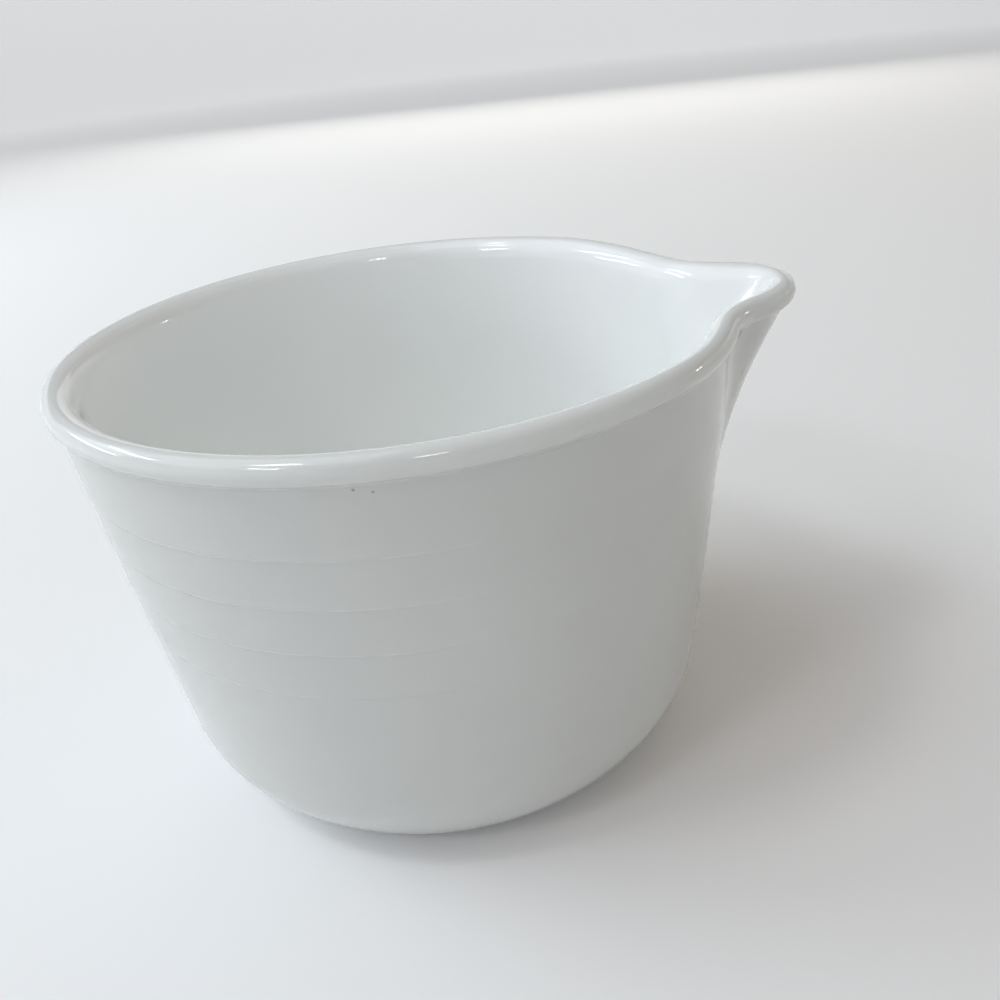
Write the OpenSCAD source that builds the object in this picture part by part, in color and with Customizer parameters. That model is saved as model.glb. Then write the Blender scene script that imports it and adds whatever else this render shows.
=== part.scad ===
// Batter bowl: one body of white pressed opal glass, with a rolled bead round the rim, four stepped
// bands in the wall and a pouring spout. It stands on z = 0, centred on its axis, with the spout along +X.

/* [Bowl] */
// Height from the table to the top of the rim
bowl_h = 114; // [95:1:135]
// Diameter over the bead of the rim, away from the spout
rim_d = 165; // [145:1:190]
// Diameter of the body where the wall runs into the rounded corner
body_d = 143.5; // [125:0.5:155]
// Radius of the rounded corner between the wall and the foot
corner_r = 32; // [26:0.5:40]
// How far the circle of that corner would dip below the table if nothing cut it
corner_sink = 4.4; // [2:0.1:6]
// How far the wall swells out from a straight line
wall_bow = 0.4; // [0:0.1:1.5]
// Thickness of the wall, measured level
wall_t = 5.4; // [4:0.1:7]
// Radius of the corner between the wall and the floor, inside
inside_r = 21; // [14:0.5:28]
// Thickness of the floor
floor_t = 5.5; // [4:0.1:8]

/* [Foot] */
// Width of the flat ring that the bowl stands on
foot_w = 6; // [4:0.5:10]
// Height of the rounded outer edge of that ring
foot_edge = 0.8; // [0.4:0.1:1.4]
// Height of the hollow inside the ring
foot_rise = 1.5; // [0.8:0.1:2.5]

/* [Bands] */
// Number of steps in the wall
band_count = 4; // [1:1:5]
// Depth of the first step below the top of the rim
band_first = 21.4; // [18:0.1:26]
// Distance from one step to the next
band_pitch = 11.6; // [8:0.1:13]
// Width of the ledge at each step
band_ledge_w = 0.35; // [0.1:0.05:0.8]
// Height over which a step is rounded
band_round = 0.7; // [0.3:0.1:1.5]

/* [Rim] */
// Radius of the bead
bead_r = 2.85; // [2.2:0.05:3.4]
// How far the bead stands out past the wall
bead_proud = 2; // [1:0.1:2.6]
// Radius of the hollow under the bead
bead_fillet_r = 1.2; // [0.6:0.1:2]
// Breadth of the bead from its crest to its inner side
crest_w = 1.9; // [1.2:0.1:2.4]
// Depth of the lip, the inner edge of the rim, below its top
lip_drop = 2.1; // [1.6:0.1:2.6]
// Depth below the top at which the sloping ledge inside the bead begins
ledge_drop = 1.2; // [0.8:0.1:1.5]
// Radius that rounds the lip
lip_r = 0.6; // [0.4:0.1:1]

/* [Spout] */
// How far the spout reaches out past the rim
spout_reach = 15.2; // [10:0.1:20]
// Radius of the nose of the spout, over the bead
nose_r = 18.7; // [14:0.1:24]
// Angle of each flank to the middle line of the spout, outside
flank_a = 26; // [18:1:36]
// Length over which a flank blends into the rim
rim_blend = 9; // [5:0.5:13]
// Length over which a flank blends into the wall
wall_blend = 11.5; // [6:0.5:14]
// How far the bead stands out past the tip of the spout
tip_proud = 1; // [0.6:0.1:1.6]
// Lean of the spout's front edge from upright
ridge_a = 29; // [24:1:36]
// Breadth of the rim at the tip of the spout
tip_w = 5.9; // [5.2:0.1:7]
// Radius of the nose of the spout at the lip
lip_nose_r = 10.6; // [8:0.1:14]
// Angle of each flank to the middle line of the spout, at the lip
lip_flank_a = 36; // [26:1:44]
// Length over which a flank blends into the lip
lip_blend = 8; // [4:0.5:11]
// Angle from the spout at which the rim dips and draws in most, on each side
shoulder_a = 27; // [24:1:30]
// How far the rim dips there
shoulder_drop = 1.1; // [0:0.1:1.6]
// How far the rim draws in there
shoulder_inset_w = 0.5; // [0:0.1:1]

/* [Hidden] */
glass = [0.90, 0.92, 0.92];
$fn = 96;

// Numbers of steps: round the spout's side, in a corner, along the lower wall, in a band and on the rim
turns = 52;
corner_steps = 8;
low_steps = 2;
band_steps = 3;
fillet_steps = 3;
bead_steps = 7;
// The spout's side is stepped more closely towards its middle
crowd_share = 1.6;

rim_r = rim_d / 2;
body_r = body_d / 2;
bead_z = bowl_h - bead_r;
lip_z = bowl_h - lip_drop;
ledge_z = bowl_h - ledge_drop;
floor_z = floor_t + foot_rise;
// The half of the bowl that holds the spout
side_a = 90;

// The wall, from the corner to the bead, is a line with a bow
wall_r_top = rim_r - bead_proud;
corner_z = corner_r - corner_sink;
function wall_lean(rise) = atan((wall_r_top - body_r + 4 * wall_bow) / rise);
wall_low_z = corner_z - corner_r * sin(wall_lean(bead_z - corner_z));
wall_rise = bead_z - wall_low_z;
low_lean = wall_lean(wall_rise);
function wall_line(z) =
    let (t = (z - wall_low_z) / wall_rise)
    body_r + (wall_r_top - body_r) * t + 4 * wall_bow * t * (1 - t);
function wall_slope(z) =
    let (t = (z - wall_low_z) / wall_rise)
    (wall_r_top - body_r + 4 * wall_bow * (1 - 2 * t)) / wall_rise;

// Each band leans a little more than the wall, and a step at its foot brings it back
band_low_z = bowl_h - band_first - (band_count - 1) * band_pitch;
function step_z(i) = bowl_h - band_first - i * band_pitch;

// The outer corner is an arc that meets the wall and the edge of the foot
corner_x = body_r - corner_r * cos(low_lean);
foot_a = asin((corner_z - foot_edge) / corner_r);
foot_out_r = corner_x + corner_r * cos(foot_a) - foot_edge;
foot_in_r = foot_out_r - foot_w;

// The inner corner is an arc that meets the floor and the wall
inside_top_z = floor_z + inside_r * (1 - sin(low_lean));
inside_lean = atan(wall_slope(inside_top_z));
inside_x = wall_line(inside_top_z) - wall_t - inside_r * cos(inside_lean);

// A length that passes smoothly from one value to a larger one over the length k
function blend_max(a, b, k) =
    let (h = min(max(0.5 + (b - a) / (2 * k), 0), 1))
    a * (1 - h) + b * h + k * h * (1 - h);

// Distance from the axis to a wedge with a round nose, at the angle u from its middle line
function wedge(u, tip, nose, flank) =
    let (middle = tip - nose, side = 90 - flank)
    let (turn = atan2(nose * sin(side), middle + nose * cos(side)))
    abs(u) < turn
        ? middle * cos(u) + sqrt(nose * nose - pow(middle * sin(u), 2))
        : (middle * cos(side) + nose) / cos(abs(u) - side);

// How much of the shoulder's dip and draw there is at the angle u, and at the height z
function shoulder(u) = abs(u) < 2 * shoulder_a ? (1 - cos(180 * u / shoulder_a)) / 2 : 0;
function upper(z) = min(max((z - step_z(0)) / (bead_z - step_z(0)), 0), 1);
function draw(u, z) = shoulder_inset_w * shoulder(u) * upper(z);
function dip(u, z) = shoulder_drop * shoulder(u) * upper(z);

// Distance from the axis to the wall outside and inside, to the bead and to the lip
ridge_top_r = rim_r + spout_reach - tip_proud;
trough_top_r = rim_r + spout_reach - tip_w;
function outside(u, z) =
    let (tip = ridge_top_r - (bead_z - z) * tan(ridge_a))
    blend_max(wall_line(z) - draw(u, z), wedge(u, tip, nose_r, flank_a), wall_blend);
function inside(u, z) =
    let (tip = trough_top_r - (lip_z - z) * tan(ridge_a))
    blend_max(wall_line(z) - wall_t - draw(u, z), wedge(u, tip, lip_nose_r, lip_flank_a), lip_blend);
function bead_out(u) =
    blend_max(rim_r - draw(u, bowl_h), wedge(u, rim_r + spout_reach, nose_r, flank_a), rim_blend);

// Stations along the wall: a share of its height, and the step's offset there
function band_at(i, j) =
    let (low = step_z(i), high = i == 0 ? bead_z : step_z(i - 1) - band_round)
    [low + (high - low) * j / band_steps, band_ledge_w * (0.5 - j / band_steps * (i == 0 ? 0.5 : 1))];
wall_stations = concat(
    [for (j = [1:low_steps])
        let (t = j / low_steps)
        [wall_low_z + (band_low_z - band_round - wall_low_z) * t, -band_ledge_w * t / 2]],
    [for (i = [band_count - 1:-1:0], j = [0:band_steps - (i == 0 ? 1 : 0)]) band_at(i, j)]
);

// Outer side of the section at the angle u, from the axis to the crest of the bead
function foot_path() = [
    [0, foot_rise],
    [foot_in_r - foot_rise, foot_rise],
    [foot_in_r, 0],
    [foot_out_r, 0]
];
function corner_path() = [
    for (i = [0:corner_steps])
        let (a = foot_a + (low_lean - foot_a) * i / corner_steps)
        [corner_x + corner_r * cos(a), corner_z - corner_r * sin(a)]
];
function wall_path(u) = [
    for (s = wall_stations) [outside(u, s[0]) + s[1], s[0] - dip(u, s[0])]
];
function bead_path(u) =
    let (middle = bead_out(u) - bead_r)
    let (side = outside(u, bead_z) + bead_fillet_r)
    let (start = acos((side - middle) / (bead_r + bead_fillet_r)))
    let (hollow_z = bead_z - (bead_r + bead_fillet_r) * sin(start))
    concat(
        [for (i = [0:fillet_steps - 1])
            let (a = 180 - start * i / fillet_steps)
            [side + bead_fillet_r * cos(a), hollow_z + bead_fillet_r * sin(a) - dip(u, bowl_h)]],
        [for (i = [0:bead_steps])
            let (a = -start + (90 + start) * i / bead_steps)
            [middle + bead_r * cos(a), bead_z + bead_r * sin(a) - dip(u, bowl_h)]]
    );
function outer_path(u) = concat(foot_path(), corner_path(), wall_path(u), bead_path(u));

// Inner side of the section at the angle u, from the axis to the crest of the bead
inside_corner_steps = corner_steps + len(foot_path()) - 1;
lip_steps = floor((fillet_steps + bead_steps) / 2) - 1;
crest_steps = fillet_steps + bead_steps - 1 - lip_steps;
function inside_corner_path() = [
    for (i = [0:inside_corner_steps])
        let (a = 90 + (inside_lean - 90) * i / inside_corner_steps)
        [inside_x + inside_r * cos(a), floor_z + inside_r - inside_r * sin(a)]
];
function inside_wall_path(u) =
    let (rise = lip_z - lip_r - inside_top_z)
    [for (s = wall_stations)
        let (z = inside_top_z + rise * (s[0] - wall_low_z) / wall_rise)
        [inside(u, z), z - dip(u, z)]];
function crest_path(u) =
    let (middle = bead_out(u) - bead_r, lip = inside(u, lip_z))
    let (ledge_a = asin((ledge_z - bead_z) / bead_r))
    concat(
        [for (i = [0:lip_steps])
            let (a = 90 * i / lip_steps)
            [lip + lip_r - lip_r * cos(a), lip_z - lip_r + lip_r * sin(a) - dip(u, bowl_h)]],
        [for (i = [0:crest_steps])
            let (a = ledge_a + (90 - ledge_a) * i / crest_steps)
            [middle - crest_w * cos(a), bead_z + bead_r * sin(a) - dip(u, bowl_h)]]
    );
function inner_path(u) =
    concat([[0, floor_z]], inside_corner_path(), inside_wall_path(u), crest_path(u));

// The plain side of the bowl, turned about its axis
module round_side() {
    outer = outer_path(side_a);
    inner = inner_path(side_a);
    last = len(inner) - 1;
    rotate_extrude(angle = 360 - 2 * side_a, start = side_a)
        polygon(concat(outer, [for (i = [1:last]) inner[last - i]]));
}

// The side with the spout: one section after another, joined into a closed solid round the axis
function turn_at(i) =
    let (t = 2 * i / turns - 1)
    side_a * sign(t) * pow(abs(t), crowd_share);
function around(p, u) = [p[0] * cos(u), p[0] * sin(u), p[1]];
module spout_side() {
    outer = [for (i = [0:turns]) outer_path(turn_at(i))];
    inner = [for (i = [0:turns]) inner_path(turn_at(i))];
    n = len(outer[0]);
    points = concat(
        [[0, 0, foot_rise], [0, 0, floor_z]],
        [for (i = [0:turns], j = [1:n - 1]) around(outer[i][j], turn_at(i))],
        [for (i = [0:turns], j = [1:n - 2]) around(inner[i][j], turn_at(i))]
    );
    first_inner = 2 + (turns + 1) * (n - 1);
    function out(i, j) = j == 0 ? 0 : 2 + i * (n - 1) + j - 1;
    function in(i, j) = j == 0 ? 1 : j == n - 1 ? out(i, j) : first_inner + i * (n - 2) + j - 1;
    polyhedron(points, concat(
        [for (i = [0:turns - 1], j = [0:n - 2]) [out(i, j), out(i, j + 1), out(i + 1, j + 1)]],
        [for (i = [0:turns - 1], j = [1:n - 2]) [out(i, j), out(i + 1, j + 1), out(i + 1, j)]],
        [for (i = [0:turns - 1], j = [0:n - 2]) [in(i, j), in(i + 1, j + 1), in(i, j + 1)]],
        [for (i = [0:turns - 1], j = [1:n - 2]) [in(i, j), in(i + 1, j), in(i + 1, j + 1)]],
        [for (j = [0:n - 2]) [out(0, j), in(0, j), out(0, j + 1)]],
        [for (j = [0:n - 3]) [in(0, j), in(0, j + 1), out(0, j + 1)]],
        [for (j = [0:n - 2]) [out(turns, j), out(turns, j + 1), in(turns, j)]],
        [for (j = [0:n - 3]) [in(turns, j), out(turns, j + 1), in(turns, j + 1)]]
    ));
}

module glass_bowl() {
    color(glass)
    union() {
        round_side();
        spout_side();
    }
}

glass_bowl();
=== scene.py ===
"""Batter bowl of white pressed opal glass: beaded rim, stepped bands and a pouring spout."""
import math

import bpy
from mathutils import Matrix, Vector


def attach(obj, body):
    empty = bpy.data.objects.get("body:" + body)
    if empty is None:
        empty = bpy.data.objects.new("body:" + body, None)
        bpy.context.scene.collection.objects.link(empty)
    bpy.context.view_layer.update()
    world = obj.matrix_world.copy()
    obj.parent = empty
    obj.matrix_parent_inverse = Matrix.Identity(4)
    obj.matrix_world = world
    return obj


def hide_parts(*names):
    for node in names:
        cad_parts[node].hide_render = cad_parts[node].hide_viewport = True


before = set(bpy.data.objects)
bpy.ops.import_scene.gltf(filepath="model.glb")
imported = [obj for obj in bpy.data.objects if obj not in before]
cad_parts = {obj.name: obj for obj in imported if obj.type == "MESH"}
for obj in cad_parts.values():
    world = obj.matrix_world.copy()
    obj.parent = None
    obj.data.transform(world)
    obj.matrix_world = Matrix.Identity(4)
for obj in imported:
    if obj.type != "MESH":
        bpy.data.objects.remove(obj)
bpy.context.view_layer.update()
MM = 0.001

# The bowl's named sizes in millimetres and degrees, as in the CAD source
BOWL_H, RIM_D, BODY_D, CORNER_R, CORNER_SINK = 114.0, 165.0, 143.5, 32.0, 4.4
WALL_BOW, WALL_T, INSIDE_R, FLOOR_T = 0.4, 5.4, 21.0, 5.5
FOOT_W, FOOT_EDGE, FOOT_RISE = 6.0, 0.8, 1.5
BAND_COUNT, BAND_FIRST, BAND_PITCH, BAND_STEP, BAND_ROUND = 4, 21.4, 11.6, 0.35, 0.7
BEAD_R, BEAD_PROUD, LIP_DROP = 2.85, 2.0, 2.1
SPOUT_REACH, NOSE_R, FLANK_A, RIM_BLEND, WALL_BLEND = 15.2, 18.7, 26.0, 9.0, 11.5
TIP_PROUD, RIDGE_A, TIP_W, LIP_NOSE_R, LIP_FLANK_A, LIP_BLEND = 1.0, 29.0, 5.9, 10.6, 36.0, 8.0
SHOULDER_A, SHOULDER_DIP, SHOULDER_DRAW = 27.0, 1.1, 0.5

# Sizes that differ from the CAD or that only the scene has: the fillet under the bead, the soft
# fall of the rim's inner side in place of a ledge and a lip, and a slight groove in that side
FILLET_R, INNER_FALL = 2.0, 6.2
GROOVE, GROOVE_A, GROOVE_WIDE_A = 0.07, 38.0, 3.5

# Angles from the spout: the bands start at the first, stay faint from the second to the third,
# and have their full strength from the fourth on. The lowest band is the faintest
BANDS_START_A, BANDS_FAINT_A, BANDS_GROW_A, BANDS_FULL_A = 34.0, 48.0, 66.0, 100.0
FAINT_SHARE = 0.12
BAND_SHARES = (1.0, 0.95, 0.85, 0.4)

# Unevenness of pressed glass: waves round the bowl, their turn with the height, and their size.
# It sets in above the foot and fades below the bead, where the rim is drawn in by a hair
RIPPLES = ((2, 1.1, 0.060), (3, 2.3, 0.045), (5, 4.1, 0.028), (8, 6.3, 0.016), (13, 9.1, 0.008))
RIPPLE_SHIFT, OUTER_PHASE, INNER_PHASE = 1.7, 0.4, 2.9
RIPPLE_FROM, RIPPLE_OVER, FADE_FROM, FADE_OVER, RIM_IN = 6, 20, 98, 10, 0.03

# Columns of points round the bowl, crowded towards the spout
TURNS, CROWD = 316, 1.45
# Rows of points along the parts of the section
HOLLOW_N, RAMP_N, FLAT_N, EDGE_N, CORNER_N, LOW_N, BETWEEN_N, FILLET_N, BEAD_N = (
    10, 8, 4, 6, 32, 14, 7, 8, 24)
RIM_N, INSIDE_N, ROUND_N, FLOOR_N = 30, 60, 28, 12
# Heights of the rows at a step, and the distances that the other rows keep from what is above
STEP_ROWS = (-1.2, -0.9, -0.7, -0.58, -0.46, -0.34, -0.22, -0.1, 0.0, 0.12, 0.3)
UNDER_LOWEST, UNDER_STEP, UNDER_BEAD = 1.5, 1.6, 6.2
# The inside's lighter colour is painted light on one and the same glass, and it sets in this many
# rows before the crest, under the bead, over this many rows, so the bead is painted lighter too
PAINTED_LIGHT_BEFORE, PAINTED_LIGHT_ROWS = 26, 42

RIM_R, BODY_R = RIM_D / 2, BODY_D / 2
BEAD_Z, LIP_Z = BOWL_H - BEAD_R, BOWL_H - LIP_DROP
FLOOR_Z = FLOOR_T + FOOT_RISE
WALL_TOP_R = RIM_R - BEAD_PROUD
CORNER_Z = CORNER_R - CORNER_SINK


def wall_lean(rise):
    """Lean of the wall at its lowest point, where it rises by this much to the bead."""
    return math.atan((WALL_TOP_R - BODY_R + 4 * WALL_BOW) / rise)


WALL_LOW_Z = CORNER_Z - CORNER_R * math.sin(wall_lean(BEAD_Z - CORNER_Z))
WALL_RISE = BEAD_Z - WALL_LOW_Z
LOW_LEAN = wall_lean(WALL_RISE)


def wall_line(z):
    """Radius of the plain wall, which bows out by WALL_BOW halfway up."""
    t = (z - WALL_LOW_Z) / WALL_RISE
    return BODY_R + (WALL_TOP_R - BODY_R) * t + 4 * WALL_BOW * t * (1 - t)


def wall_slope(z):
    t = (z - WALL_LOW_Z) / WALL_RISE
    return (WALL_TOP_R - BODY_R + 4 * WALL_BOW * (1 - 2 * t)) / WALL_RISE


def step_z(i):
    return BOWL_H - BAND_FIRST - i * BAND_PITCH


CORNER_X = BODY_R - CORNER_R * math.cos(LOW_LEAN)
FOOT_A = math.asin((CORNER_Z - FOOT_EDGE) / CORNER_R)
FOOT_OUT_R = CORNER_X + CORNER_R * math.cos(FOOT_A) - FOOT_EDGE
FOOT_IN_R = FOOT_OUT_R - FOOT_W
INSIDE_TOP_Z = FLOOR_Z + INSIDE_R * (1 - math.sin(LOW_LEAN))
INSIDE_LEAN = math.atan(wall_slope(INSIDE_TOP_Z))
INSIDE_X = wall_line(INSIDE_TOP_Z) - WALL_T - INSIDE_R * math.cos(INSIDE_LEAN)


def blend_max(a, b, k):
    """The larger of a and b, with a soft passage where they differ by less than k."""
    h = min(max(0.5 + (b - a) / (2 * k), 0.0), 1.0)
    return a * (1 - h) + b * h + k * h * (1 - h)


def wedge(u, tip, nose, flank):
    """Distance from the axis to a round-nosed wedge, at the angle u from its middle line."""
    middle, side, u = tip - nose, math.radians(90 - flank), abs(u)
    turn = math.atan2(nose * math.sin(side), middle + nose * math.cos(side))
    if u < turn:
        return middle * math.cos(u) + math.sqrt(nose * nose - (middle * math.sin(u)) ** 2)
    if u > math.pi / 2:
        return 0.0
    return (middle * math.cos(side) + nose) / math.cos(u - side)


def shoulder(u):
    a = math.radians(SHOULDER_A)
    return (1 - math.cos(math.pi * u / a)) / 2 if abs(u) < 2 * a else 0.0


def upper(z):
    return min(max((z - step_z(0)) / (BEAD_Z - step_z(0)), 0.0), 1.0)


def draw(u, z):
    return SHOULDER_DRAW * shoulder(u) * upper(z)


def dip(u, z):
    return SHOULDER_DIP * shoulder(u) * upper(z)


RIDGE_TOP_R = RIM_R + SPOUT_REACH - TIP_PROUD
TROUGH_TOP_R = RIM_R + SPOUT_REACH - TIP_W
LEAN = math.tan(math.radians(RIDGE_A))


def outside(u, z):
    tip = RIDGE_TOP_R - (BEAD_Z - z) * LEAN
    return blend_max(wall_line(z) - draw(u, z), wedge(u, tip, NOSE_R, FLANK_A), WALL_BLEND)


def inside(u, z):
    tip = TROUGH_TOP_R - (LIP_Z - z) * LEAN
    plain = wall_line(z) - WALL_T - draw(u, z)
    return blend_max(plain, wedge(u, tip, LIP_NOSE_R, LIP_FLANK_A), LIP_BLEND)


def bead_out(u):
    tip = RIM_R + SPOUT_REACH
    return blend_max(RIM_R - draw(u, BOWL_H), wedge(u, tip, NOSE_R, FLANK_A), RIM_BLEND)


def smooth(t):
    t = min(max(t, 0.0), 1.0)
    return t * t * (3 - 2 * t)


def faint(u, i):
    """How strongly step i shows at the angle u: the steps die out towards the spout."""
    turned = abs(math.degrees(u))
    growth = smooth((turned - BANDS_GROW_A) / (BANDS_FULL_A - BANDS_GROW_A))
    share = FAINT_SHARE + (1 - FAINT_SHARE) * growth
    start = smooth((turned - BANDS_START_A) / (BANDS_FAINT_A - BANDS_START_A))
    return share * BAND_SHARES[i] * start


def band(u, z):
    """The bands: each leans out a little more than the wall, and a rounded step brings it back.

    They lie half outside and half inside the plain wall.
    """
    if z >= step_z(0):
        t = (z - step_z(0)) / (BEAD_Z - step_z(0))
        return faint(u, 0) * BAND_STEP * (0.5 - 0.5 * min(t, 1.0))
    for i in range(1, BAND_COUNT):
        low, high = step_z(i), step_z(i - 1)
        if z >= low:
            t = (z - low) / (high - low)
            top = 1 - BAND_ROUND / (high - low)
            if t <= top:
                k = faint(u, i) * (1 - t / top) + faint(u, i - 1) * t / top
                return k * BAND_STEP * (0.5 - t / top)
            return faint(u, i - 1) * BAND_STEP * (smooth((t - top) / (1 - top)) - 0.5)
    low = step_z(BAND_COUNT - 1)
    k = faint(u, BAND_COUNT - 1) * BAND_STEP
    if z >= low - BAND_ROUND:
        return k * (smooth((z - low + BAND_ROUND) / BAND_ROUND) - 0.5)
    return -k / 2 * (z - WALL_LOW_Z) / (low - BAND_ROUND - WALL_LOW_Z)


def stations():
    """Heights of the rows of points up the wall, close together at each step."""
    rise = step_z(BAND_COUNT - 1) - UNDER_LOWEST - WALL_LOW_Z
    heights = [WALL_LOW_Z + rise * j / LOW_N for j in range(1, LOW_N)]
    for i in range(BAND_COUNT - 1, -1, -1):
        heights += [step_z(i) + d for d in STEP_ROWS]
        start = step_z(i) + STEP_ROWS[-1]
        top = step_z(i - 1) - UNDER_STEP if i else BEAD_Z - UNDER_BEAD
        heights += [start + (top - start) * j / BETWEEN_N for j in range(1, BETWEEN_N + 1)]
    return heights


STATIONS = stations()


def outer_path(u):
    """Outer side of the section, from the middle of the underside to the crest of the bead."""
    # The shallow hollow, the ramp down to the foot ring, its flat and its rounded outer edge
    hollow_out, ramp_in, ramp_w, flat_in = FOOT_IN_R - FOOT_RISE, 1.2, 2.7, 0.3
    path = [(hollow_out * j / HOLLOW_N, FOOT_RISE) for j in range(1, HOLLOW_N)]
    for j in range(RAMP_N + 1):
        r = hollow_out - ramp_in + ramp_w * j / RAMP_N
        path.append((r, FOOT_RISE * (1 - smooth(j / RAMP_N))))
    flat_w = FOOT_OUT_R - FOOT_IN_R - 2 * flat_in
    path += [(FOOT_IN_R + flat_in + flat_w * j / FLAT_N, 0.0) for j in range(1, FLAT_N)]
    for j in range(EDGE_N + 1):
        a = math.radians(90 * j / EDGE_N)
        r = FOOT_OUT_R - flat_in + (FOOT_EDGE + flat_in) * math.sin(a)
        path.append((r, FOOT_EDGE * (1 - math.cos(a))))
    # The round lower corner and the wall
    for j in range(1, CORNER_N + 1):
        a = FOOT_A + (LOW_LEAN - FOOT_A) * j / CORNER_N
        path.append((CORNER_X + CORNER_R * math.cos(a), CORNER_Z - CORNER_R * math.sin(a)))
    path += [(outside(u, z) + band(u, z), z - dip(u, z)) for z in STATIONS]
    # The fillet, which touches the leaning wall and the bead, and the bead
    middle, wall, low, below = bead_out(u) - BEAD_R, outside(u, BEAD_Z), dip(u, BOWL_H), 3
    lean = math.atan((wall - outside(u, BEAD_Z - below)) / below)
    away = FILLET_R - (middle - wall) * math.cos(lean)
    drop = (middle - wall) * math.sin(lean) - math.sqrt((BEAD_R + FILLET_R) ** 2 - away ** 2)
    hollow_r = wall + drop * math.sin(lean) + FILLET_R * math.cos(lean)
    hollow_z = BEAD_Z + drop * math.cos(lean) - FILLET_R * math.sin(lean)
    meet = math.atan2(BEAD_Z - hollow_z, middle - hollow_r)
    for j in range(FILLET_N):
        a = math.pi - lean + (meet - math.pi + lean) * j / FILLET_N
        path.append((hollow_r + FILLET_R * math.cos(a), hollow_z + FILLET_R * math.sin(a) - low))
    for j in range(BEAD_N + 1):
        a = meet - math.pi + (1.5 * math.pi - meet) * j / BEAD_N
        path.append((middle + BEAD_R * math.cos(a), BEAD_Z + BEAD_R * math.sin(a) - low))
    return path


def inner_path(u):
    """Inner side of the section, from the crest of the bead down to the middle of the floor."""
    middle, low = bead_out(u) - BEAD_R, dip(u, BOWL_H)
    # The rim falls on an arc of an ellipse, and turn is the angle at which it meets the wall
    turn, tries, near, least_slope = math.radians(80), 8, 0.2, 0.02
    for _ in range(tries):
        z = BOWL_H - INNER_FALL * (1 - math.cos(turn))
        slope = (inside(u, z + near) - inside(u, z - near)) / (2 * near)
        across = (middle - inside(u, z)) / math.sin(turn)
        turn = math.atan(across / (INNER_FALL * max(slope, least_slope)))
    high = BOWL_H - INNER_FALL * (1 - math.cos(turn))
    across = (middle - inside(u, high)) / math.sin(turn)
    path = []
    for j in range(1, RIM_N + 1):
        a = turn * j / RIM_N
        z = BOWL_H - INNER_FALL * (1 - math.cos(a))
        groove = GROOVE * math.exp(-((math.degrees(a) - GROOVE_A) / GROOVE_WIDE_A) ** 2)
        r = middle - across * math.sin(a) + groove * math.sin(a)
        path.append((r, z - groove * math.cos(a) - low))
    for j in range(1, INSIDE_N + 1):
        z = high + (INSIDE_TOP_Z - high) * j / INSIDE_N
        path.append((inside(u, z), z - dip(u, z)))
    for j in range(1, ROUND_N + 1):
        a = INSIDE_LEAN + (math.pi / 2 - INSIDE_LEAN) * j / ROUND_N
        path.append((INSIDE_X + INSIDE_R * math.cos(a), FLOOR_Z + INSIDE_R * (1 - math.sin(a))))
    path += [(INSIDE_X * (1 - j / FLOOR_N), FLOOR_Z) for j in range(1, FLOOR_N)]
    return path


def ripple(u, z, phase):
    """The slight unevenness of pressed glass, as a change of radius."""
    s = z / BOWL_H
    return sum(a * math.cos(k * u + phase + RIPPLE_SHIFT * k + w * s) for k, w, a in RIPPLES)


def column_angle(i):
    t = 2 * i / TURNS - 1
    return math.pi * math.copysign(abs(t) ** CROWD, t)


def new_object(name, points, faces):
    mesh = bpy.data.meshes.new(name)
    mesh.from_pydata(points, [], faces)
    mesh.polygons.foreach_set("use_smooth", [True] * len(faces))
    obj = bpy.data.objects.new(name, mesh)
    bpy.context.scene.collection.objects.link(obj)
    return obj


def make_bowl():
    """One closed skin: a section that changes round the bowl, closed by two fans of triangles."""
    outer_n = len(outer_path(1.0))
    rows = outer_n + len(inner_path(1.0))
    points, inner_mask = [], []
    for i in range(TURNS):
        u = column_angle(i)
        cosine, sine = math.cos(u), math.sin(u)
        for j, (r, z) in enumerate(outer_path(u) + inner_path(u)):
            high = smooth((z - FADE_FROM) / FADE_OVER)
            uneven = smooth((z - RIPPLE_FROM) / RIPPLE_OVER) * (1 - high)
            phase = OUTER_PHASE if j < outer_n else INNER_PHASE
            r += uneven * ripple(u, z, phase) - RIM_IN * high
            points.append((r * cosine * MM, r * sine * MM, z * MM))
            # This mask paints light on the inside and the bead, which take the lighter inside
            # colour
            inner_mask.append(smooth((j - outer_n + PAINTED_LIGHT_BEFORE) / PAINTED_LIGHT_ROWS))
    points += [(0, 0, FOOT_RISE * MM), (0, 0, FLOOR_Z * MM)]
    inner_mask += [0.0, 1.0]
    foot_mid, floor_mid = len(points) - 2, len(points) - 1
    faces = []
    for i in range(TURNS):
        a, b = i * rows, (i + 1) % TURNS * rows
        faces += [(a + j, b + j, b + j + 1, a + j + 1) for j in range(rows - 1)]
        faces.append((foot_mid, b, a))
        faces.append((floor_mid, a + rows - 1, b + rows - 1))
    obj = new_object("milk_glass_bowl", points, faces)
    obj.data.attributes.new("inner", "FLOAT", "POINT").data.foreach_set("value", inner_mask)
    obj.data.update()
    return obj


def new_material(name):
    mat = bpy.data.materials.new(name)
    mat.use_nodes = True
    return mat, mat.node_tree.nodes, mat.node_tree.links


def ramp(nodes, stops):
    node = nodes.new("ShaderNodeValToRGB")
    for stop, (place, colour) in zip(node.color_ramp.elements, stops):
        stop.position, stop.color = place, colour
    return node


def map_range(nodes, links, value, low, high, to_low, to_high):
    node = nodes.new("ShaderNodeMapRange")
    names = ("From Min", "From Max", "To Min", "To Max")
    for name, number in zip(names, (low, high, to_low, to_high)):
        node.inputs[name].default_value = number
    links.new(value, node.inputs["Value"])
    return node


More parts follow.
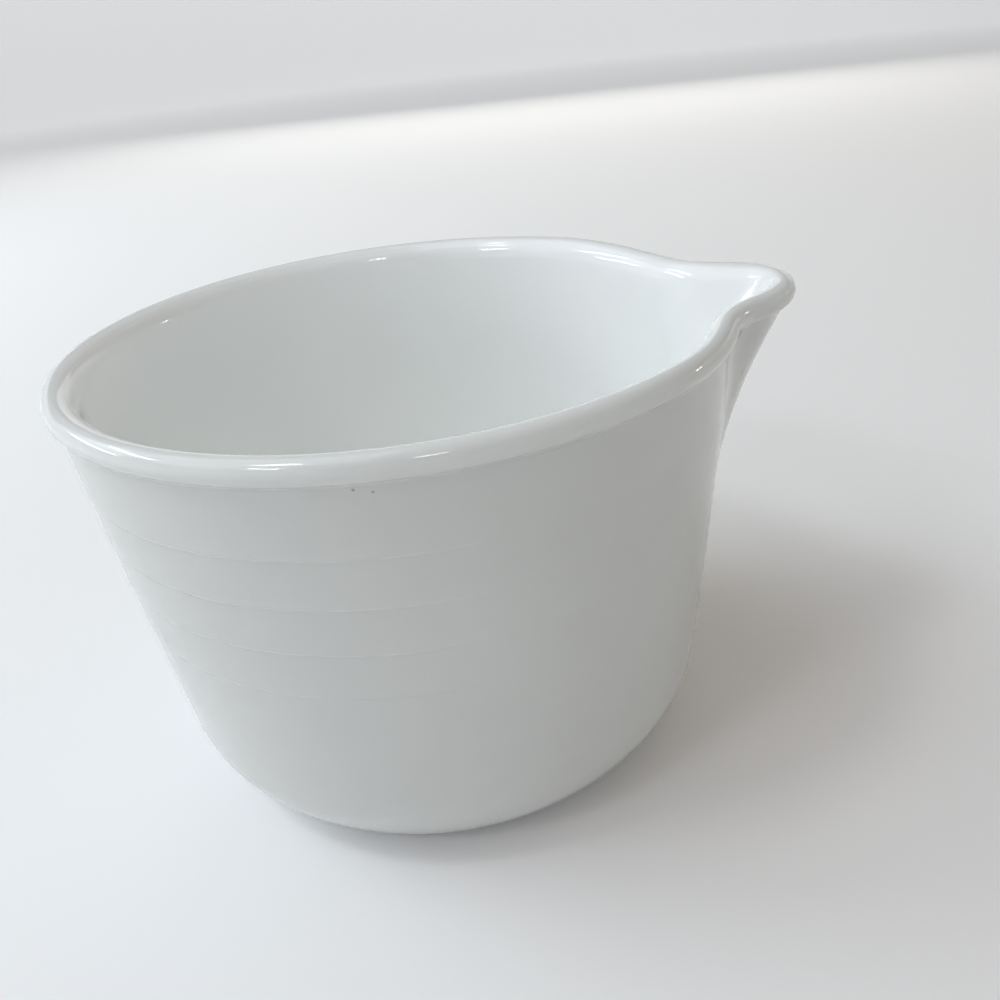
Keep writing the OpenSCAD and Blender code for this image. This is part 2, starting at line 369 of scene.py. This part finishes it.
# Colours of the glass: the outside painted darker, as painted shade, and the inside and bead
# lighter, as painted light, each side from its darker to its lighter clouds; then grains, specks
# and painted shade
OUTER_GLASS_PAINTED_SHADE = ((0.30, (0.656, 0.664, 0.642, 1)), (0.70, (0.680, 0.688, 0.666, 1)))
INNER_GLASS_PAINTED_LIGHT = ((0.30, (0.918, 0.944, 0.926, 1)), (0.70, (0.936, 0.962, 0.944, 1)))
GRAIN_COLOUR, SPECK_AND_SHADE_COLOUR = (0.32, 0.30, 0.26, 1), (0.17, 0.16, 0.13, 1)
# Cells per metre that may hold a grain, its radius as a share of a cell, the share of cells
# without one, and its strength
GRAIN_SCALE, GRAIN_R, GRAIN_RARE, GRAIN_STRONG = 95.0, 0.040, 0.965, 0.5
# Small marks, by place and radius in millimetres: specks under the bead and on the wall, and a
# short dark streak of painted shade in the crease where the bead turns into the spout
SPECKS = (((-4.34, -80.03, 107.21), 0.42), ((-1.0, -80.08, 106.43), 0.36),
          ((-31.5, -71.0, 74.0), 0.25))
CREASE_PAINTED_SHADE = (((78.8, -24.0, 108.9), 0.50), ((79.04, -22.68, 108.13), 0.60),
        ((78.88, -22.49, 107.62), 0.66), ((78.61, -22.68, 107.24), 0.66),
        ((78.31, -22.97, 106.9), 0.62), ((78.0, -23.28, 106.56), 0.55))
SPECK_STRONG, CREASE_SHADE_STRONG, MARK_CORE = 0.6, 0.9, 0.35
# Roughness of the glass where it is clean and where it has been handled most
POLISHED, HANDLED = 0.022, 0.085


def milk_glass():
    mat, nodes, links = new_material("milk_glass_white")
    shader = nodes["Principled BSDF"]
    place = nodes.new("ShaderNodeTexCoord").outputs["Object"]

    def noise(scale, detail, rough):
        node = nodes.new("ShaderNodeTexNoise")
        node.inputs["Scale"].default_value = scale
        node.inputs["Detail"].default_value = detail
        node.inputs["Roughness"].default_value = rough
        links.new(place, node.inputs["Vector"])
        return node.outputs["Fac"]

    def spread(value, *limits):
        return map_range(nodes, links, value, *limits).outputs["Result"]

    def maths(operation, a, b):
        node = nodes.new("ShaderNodeMath")
        node.operation = operation
        links.new(a, node.inputs[0])
        if isinstance(b, float):
            node.inputs[1].default_value = b
        else:
            links.new(b, node.inputs[1])
        return node.outputs[0]

    def mix(fac, a, b):
        """Colour a, turned into b by fac."""
        node = nodes.new("ShaderNodeMix")
        node.data_type = "RGBA"
        links.new(fac, node.inputs[0])
        links.new(a, node.inputs[6])
        if isinstance(b, tuple):
            node.inputs[7].default_value = b
        else:
            links.new(b, node.inputs[7])
        return node.outputs[2]

    # Colour: cloudy opal white, very slightly green, with a few grains in the glass
    clouds = noise(22.0, 3.0, 0.55)
    painted_shade_outside, inner = ramp(nodes, OUTER_GLASS_PAINTED_SHADE), ramp(nodes, INNER_GLASS_PAINTED_LIGHT)
    links.new(clouds, painted_shade_outside.inputs["Fac"])
    links.new(clouds, inner.inputs["Fac"])
    # Painted light and shade: the same glass is coloured lighter inside and on the bead, darker
    # outside
    side = nodes.new("ShaderNodeAttribute")
    side.attribute_name = "inner"
    clouds_and_painted_light = mix(side.outputs["Fac"], painted_shade_outside.outputs["Color"], inner.outputs["Color"])
    grains = nodes.new("ShaderNodeTexVoronoi")
    grains.inputs["Scale"].default_value = GRAIN_SCALE
    links.new(place, grains.inputs["Vector"])
    near = spread(grains.outputs["Distance"], 0.0, GRAIN_R, 1.0, 0.0)
    pick = nodes.new("ShaderNodeSeparateColor")
    links.new(grains.outputs["Color"], pick.inputs[0])
    few = maths("GREATER_THAN", pick.outputs[0], GRAIN_RARE)
    grain = maths("MULTIPLY", maths("MULTIPLY", near, few), GRAIN_STRONG)
    colour = mix(grain, clouds_and_painted_light, GRAIN_COLOUR)

    def spot(place_mm, size_mm):
        """1 at a small mark on the surface, fading to 0 at its edge."""
        far = nodes.new("ShaderNodeVectorMath")
        far.operation = "DISTANCE"
        links.new(place, far.inputs[0])
        far.inputs[1].default_value = [c * MM for c in place_mm]
        return spread(far.outputs["Value"], MARK_CORE * size_mm * MM, size_mm * MM, 1.0, 0.0)

    def together(marks, strong):
        total = spot(*marks[0])
        for mark in marks[1:]:
            total = maths("MAXIMUM", total, spot(*mark))
        return maths("MULTIPLY", total, strong)

    # Dark specks in the glass, and painted shade in the crease where the bead meets the spout
    specks_and_painted_shade = maths("MAXIMUM", together(SPECKS, SPECK_STRONG), together(CREASE_PAINTED_SHADE, CREASE_SHADE_STRONG))
    colour = mix(specks_and_painted_shade, colour, SPECK_AND_SHADE_COLOUR)
    links.new(colour, shader.inputs["Base Color"])

    # Gloss: fire-polished, a little duller in soft patches where it has been handled
    dull = spread(noise(46.0, 4.0, 0.6), 0.40, 0.75, POLISHED, HANDLED)
    links.new(dull, shader.inputs["Roughness"])
    shader.inputs["IOR"].default_value = 1.52
    shader.inputs["Subsurface Weight"].default_value = 0.6
    shader.inputs["Subsurface Radius"].default_value = (1.0, 1.0, 1.0)
    shader.inputs["Subsurface Scale"].default_value = 0.005

    def bump(height, strength, distance):
        node = nodes.new("ShaderNodeBump")
        node.inputs["Strength"].default_value = strength
        node.inputs["Distance"].default_value = distance
        links.new(height, node.inputs["Height"])
        return node

    # Relief: the fine chill of the mould on a slow waviness
    peel = bump(noise(120.0, 3.0, 0.5), 0.05, 0.0006)
    slow = bump(noise(34.0, 1.0, 0.4), 0.04, 0.004)
    links.new(peel.outputs["Normal"], slow.inputs["Normal"])
    links.new(slow.outputs["Normal"], shader.inputs["Normal"])
    return mat


bowl = make_bowl()
bowl.data.materials.append(milk_glass())
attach(bowl, "root")
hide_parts("glass_bowl")

# The floor in metres: a round flat with a quarter-round sweep at its edge
FLAT_R, SWEEP_R, FLAT_RINGS, SIDES, SWEEP_STEP = 3.2, 1.2, 16, 96, 10
# Its glow grows from the bowl to this distance, and falls off towards the front right
GLOW_FAR, GLOW, GLOW_COLOUR = 3.0, 0.48, (0.97, 0.985, 1.0, 1)
DARK_SIDE, DARK_FROM, DARK_TO, DARK_SHARE = (0.82, -0.57, 0), -0.4, 0.9, 0.55


def floor():
    rings = [(0.0, 0.0)] + [(FLAT_R * k / FLAT_RINGS, 0.0) for k in range(1, FLAT_RINGS + 1)]
    for degrees in range(SWEEP_STEP, 90 + SWEEP_STEP, SWEEP_STEP):
        a = math.radians(degrees)
        rings.append((FLAT_R + SWEEP_R * math.sin(a), SWEEP_R * (1 - math.cos(a))))
    turns = [2 * math.pi * k / SIDES for k in range(SIDES)]
    points = [(r * math.cos(u), r * math.sin(u), z) for r, z in rings for u in turns]
    faces = []
    for j in range(len(rings) - 1):
        for k in range(SIDES):
            a, b = j * SIDES + k, j * SIDES + (k + 1) % SIDES
            faces.append((a, a + SIDES, b + SIDES, b))
    obj = new_object("floor", points, faces)
    mat, nodes, links = new_material("floor_pale")
    shader = nodes["Principled BSDF"]
    shader.inputs["Base Color"].default_value = (0.95, 0.95, 0.95, 1)
    shader.inputs["Roughness"].default_value = 0.75
    shader.inputs["Specular IOR Level"].default_value = 0.2
    # The far floor and the sweep are lit through from behind, more with the distance from the bowl
    # and less at the front right, where the bowl is darker
    place = nodes.new("ShaderNodeTexCoord").outputs["Object"]
    far, ahead, aside = (nodes.new("ShaderNodeVectorMath") for _ in range(3))
    far.operation, ahead.operation, aside.operation = "LENGTH", "NORMALIZE", "DOT_PRODUCT"
    links.new(place, far.inputs[0])
    links.new(place, ahead.inputs[0])
    links.new(ahead.outputs["Vector"], aside.inputs[0])
    aside.inputs[1].default_value = DARK_SIDE
    glow = map_range(nodes, links, far.outputs["Value"], 0.0, GLOW_FAR, 0.0, GLOW)
    share = map_range(nodes, links, aside.outputs["Value"], DARK_FROM, DARK_TO, 1.0, DARK_SHARE)
    share.interpolation_type = "SMOOTHSTEP"
    strength = nodes.new("ShaderNodeMath")
    strength.operation = "MULTIPLY"
    links.new(glow.outputs["Result"], strength.inputs[0])
    links.new(share.outputs["Result"], strength.inputs[1])
    shader.inputs["Emission Color"].default_value = GLOW_COLOUR
    links.new(strength.outputs[0], shader.inputs["Emission Strength"])
    obj.data.materials.append(mat)
    return obj


floor()

# In metres: the point that the lights face, and the height from which their places are measured
RIM = (0, 0, 0.10)
AROUND_Z = 0.08


def area_light(name, place, size, power, colour):
    """A light that faces the rim."""
    data = bpy.data.lights.new(name, "AREA")
    data.shape, data.size, data.size_y = "RECTANGLE", size[0], size[1]
    data.energy, data.color = power, colour
    obj = bpy.data.objects.new(name, data)
    obj.location = place
    aim = Vector(RIM) - Vector(place)
    obj.rotation_mode = "QUATERNION"
    obj.rotation_quaternion = aim.to_track_quat("-Z", "Y")
    bpy.context.scene.collection.objects.link(obj)
    return obj


def around(azimuth, height, far):
    """A place seen from the bowl at this azimuth and height in degrees, this far off in metres."""
    a, e = math.radians(azimuth), math.radians(height)
    across = far * math.cos(e)
    return (across * math.cos(a), across * math.sin(a), AROUND_Z + far * math.sin(e))


COOL, PLAIN, WARM = (0.87, 0.925, 1.0), (1.0, 0.97, 0.92), (1.0, 0.86, 0.70)
ROSE, VIOLET, BLUE = (1.0, 0.92, 0.90), (0.82, 0.84, 1.0), (0.83, 0.95, 1.0)
SKY, PALE_BLUE, PALE = (0.90, 0.97, 1.0), (0.9, 0.96, 1.0), (0.96, 0.98, 1.0)
# Name, place, width and height in metres, power in watts, colour
LIGHTS = (
    ("soft_above_left", (-1.0, 0.1, 1.6), (2.0, 2.0), 13.8, COOL),
    ("soft_above_right", (1.0, 0.1, 1.6), (2.4, 2.4), 6.6, WARM),
    ("soft_above_front", (0.0, -1.0, 1.8), (1.8, 1.4), 1.3, ROSE),
    ("soft_behind", (0.2, 1.8, 0.6), (1.6, 0.6), 5.2, PLAIN),
    ("window_front_left", (-1.2, -1.2, 0.8), (1.4, 1.2), 3.2, VIOLET),
    ("window_wide", around(158, 28, 1.7), (1.0, 0.7), 2.1, SKY),
    ("window_low", around(164, 22, 1.6), (0.70, 0.08), 2.6, BLUE),
    ("window_high", around(164, 37, 1.6), (0.70, 0.08), 2.6, BLUE),
    ("lamp_above_left", around(-157, 62, 1.6), (0.26, 0.26), 2.6, PALE_BLUE),
    ("lamp_front_left", around(-137, 41, 1.5), (0.26, 0.16), 1.8, PALE),
    ("lamp_front", around(-80, 43, 1.5), (0.20, 0.12), 1.1, PALE),
    ("lamp_right", around(18, 9, 1.5), (0.10, 0.10), 0.3, PLAIN),
)
# These two light the bowl and aren't mirrored in its gloss
NOT_MIRRORED = ("soft_above_right", "soft_behind")
for light in LIGHTS:
    area_light(*light).visible_glossy = light[0] not in NOT_MIRRORED

world = bpy.data.worlds.new("studio")
world.use_nodes = True
background = world.node_tree.nodes["Background"]
background.inputs["Color"].default_value = (1.0, 0.96, 0.94, 1)
background.inputs["Strength"].default_value = 0.03
scene = bpy.context.scene
scene.world = world
scene.view_settings.view_transform = "Standard"
scene.view_settings.look = "None"

# The photograph's camera, solved from the rim, the wall and the bands: its place in metres, its
# angles in degrees, and its lens and sensor in millimetres
CAMERA_PLACE = (0.0210, -0.2236, 0.1778)
YAW, PITCH, ROLL, LENS, SENSOR = -0.165, 27.80, -6.46, 33.49, 36


def camera():
    yaw, pitch, roll = (math.radians(a) for a in (YAW, PITCH, ROLL))
    level = Vector((math.cos(yaw), -math.sin(yaw), 0))
    ahead = Vector((math.sin(yaw) * math.cos(pitch), math.cos(yaw) * math.cos(pitch),
                    -math.sin(pitch)))
    top = level.cross(ahead)
    right = math.cos(roll) * level + math.sin(roll) * top
    up = -math.sin(roll) * level + math.cos(roll) * top
    data = bpy.data.cameras.new("photo_camera")
    data.sensor_width, data.lens = SENSOR, LENS
    data.clip_start, data.clip_end = 0.01, 50
    obj = bpy.data.objects.new("photo_camera", data)
    turn = Matrix((right, up, -ahead)).transposed()
    obj.matrix_world = Matrix.Translation(CAMERA_PLACE) @ turn.to_4x4()
    bpy.context.scene.collection.objects.link(obj)
    bpy.context.scene.camera = obj


camera()
